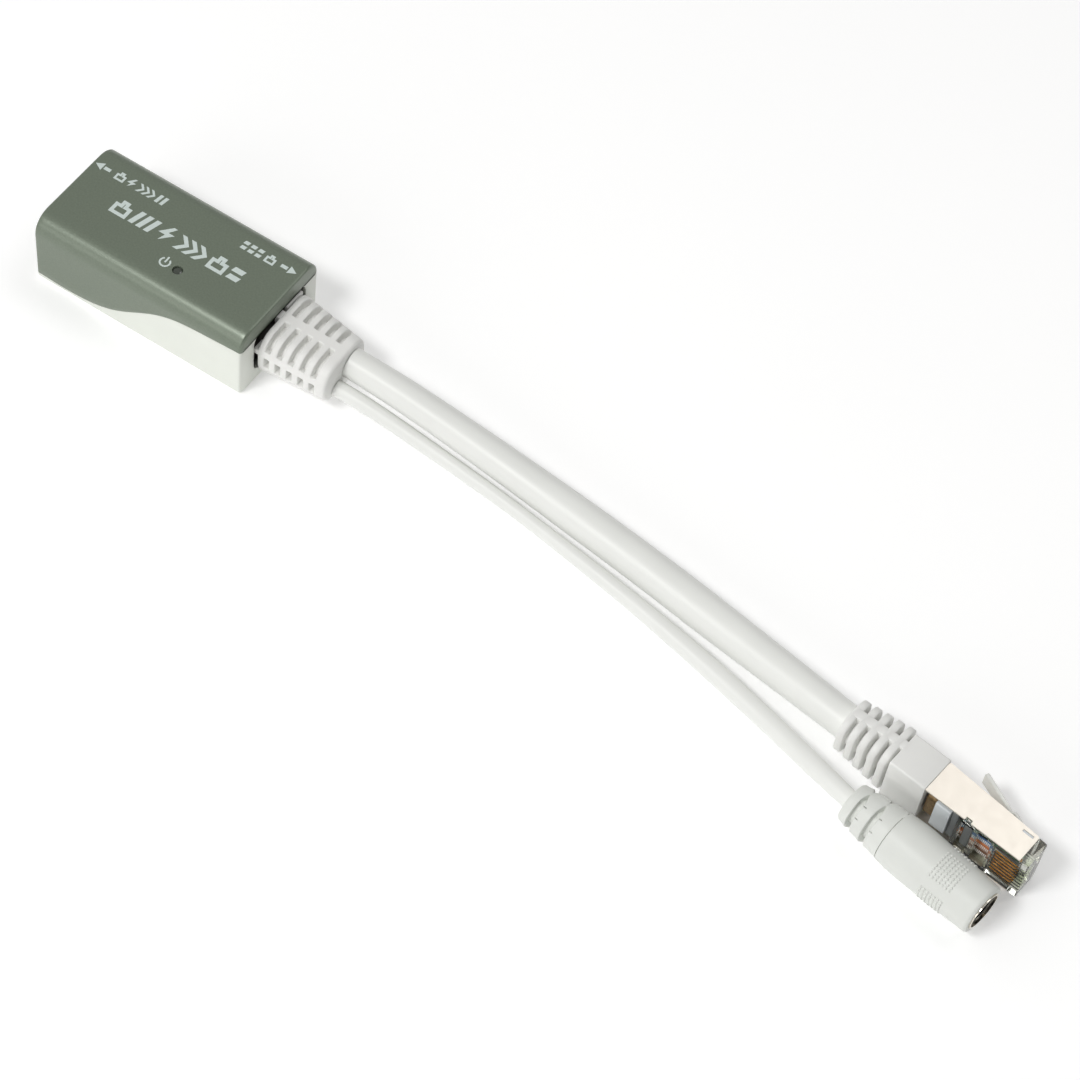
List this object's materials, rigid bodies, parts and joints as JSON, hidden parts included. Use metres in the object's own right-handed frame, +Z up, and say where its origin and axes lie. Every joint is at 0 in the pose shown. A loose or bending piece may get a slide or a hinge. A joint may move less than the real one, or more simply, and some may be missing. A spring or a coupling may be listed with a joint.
{
  "type": "power over ethernet injector",
  "caption": "Small rectangular inline power injector with a data port at one end and two leads through a ringed boot, one ending in a data plug and one in a round power socket.",
  "frame": {"origin": "centre of the case's underside", "axes": "+Z up, +X along the case towards the leads, -Y to the side of the power lead"},
  "size_m": [0.2328, 0.049, 0.0174],
  "materials": {
    "cover_paint": "matte grey-green soft-touch coating over plastic, slightly speckled",
    "case_white": "moulded white plastic, fine satin texture",
    "lead_white": "white flexible jacket, satin",
    "boot_white": "white flexible moulding, satin",
    "clear_plastic": "clear moulded polycarbonate, glossy",
    "plug_metal": "bright plated sheet, fine grain",
    "jack_metal": "tin-plated sheet",
    "gold_plate": "gold plating",
    "nickel": "nickel plating",
    "black_plastic": "black moulded plastic",
    "board_green": "green solder mask",
    "solder": "solder and tin-plated pins",
    "ferrite": "dark ferrite",
    "copper": "enamelled copper wire",
    "can_metal": "aluminium can",
    "wire_jackets": "coloured wire insulation in pairs",
    "power_jackets": "red and black wire insulation",
    "lamp_clear": "clear light pipe",
    "lamp_yellow": "light source with a pale lens"
  },
  "bodies": {
    "injector": {"top_cover": "cover_paint", "bottom_case": "case_white", "circuit_board": "board_green", "jack_shield": "jack_metal", "jack_housing": "black_plastic", "jack_pins": "solder", "magnetics_module": "black_plastic", "magnetics_pins": "solder", "filter_capacitor": "can_metal", "choke_core": "ferrite", "choke_winding": "copper", "surge_diodes": "black_plastic", "input_fuse": "case_white", "status_led": "lamp_yellow", "status_lens": "lamp_clear", "board_data_wires": "wire_jackets", "board_power_wires": "power_jackets", "strain_relief": "boot_white", "data_lead": "lead_white", "power_lead": "lead_white", "plug_boot": "boot_white", "plug_shield": "plug_metal", "plug_body": "clear_plastic", "plug_contacts": "gold_plate", "plug_wires": "wire_jackets", "plug_wire_guide": "case_white", "socket_body": "boot_white", "socket_barrel": "nickel", "socket_insulator": "black_plastic", "socket_centre_pin": "nickel", "socket_terminals": "solder"},
    "latch": {"plug_latch": "clear_plastic"},
    "jack_springs": {"jack_contacts": "gold_plate"},
    "socket_leaf": {"socket_spring": "nickel"}
  },
  "joints": [
    {"name": "latch_press", "type": "hinge", "parent": "injector", "child": "latch", "pos_m": [0.20522, -0.01547, 0.0063], "axis": [0, 0, 1], "range_deg": [0, 12], "stiffness_Nm_per_rad": 0.02},
    {"name": "jack_spring_lift", "type": "hinge", "parent": "injector", "child": "jack_springs", "pos_m": [-0.0112, 0, 0.0135], "axis": [0, 1, 0], "range_deg": [0, 6], "stiffness_Nm_per_rad": 0.02},
    {"name": "socket_leaf_lift", "type": "hinge", "parent": "injector", "child": "socket_leaf", "pos_m": [0.19355, -0.0289, 0.00875], "axis": [-0.1805, -0.9836, 0], "range_deg": [0, 3.5], "stiffness_Nm_per_rad": 0.01}
  ]
}
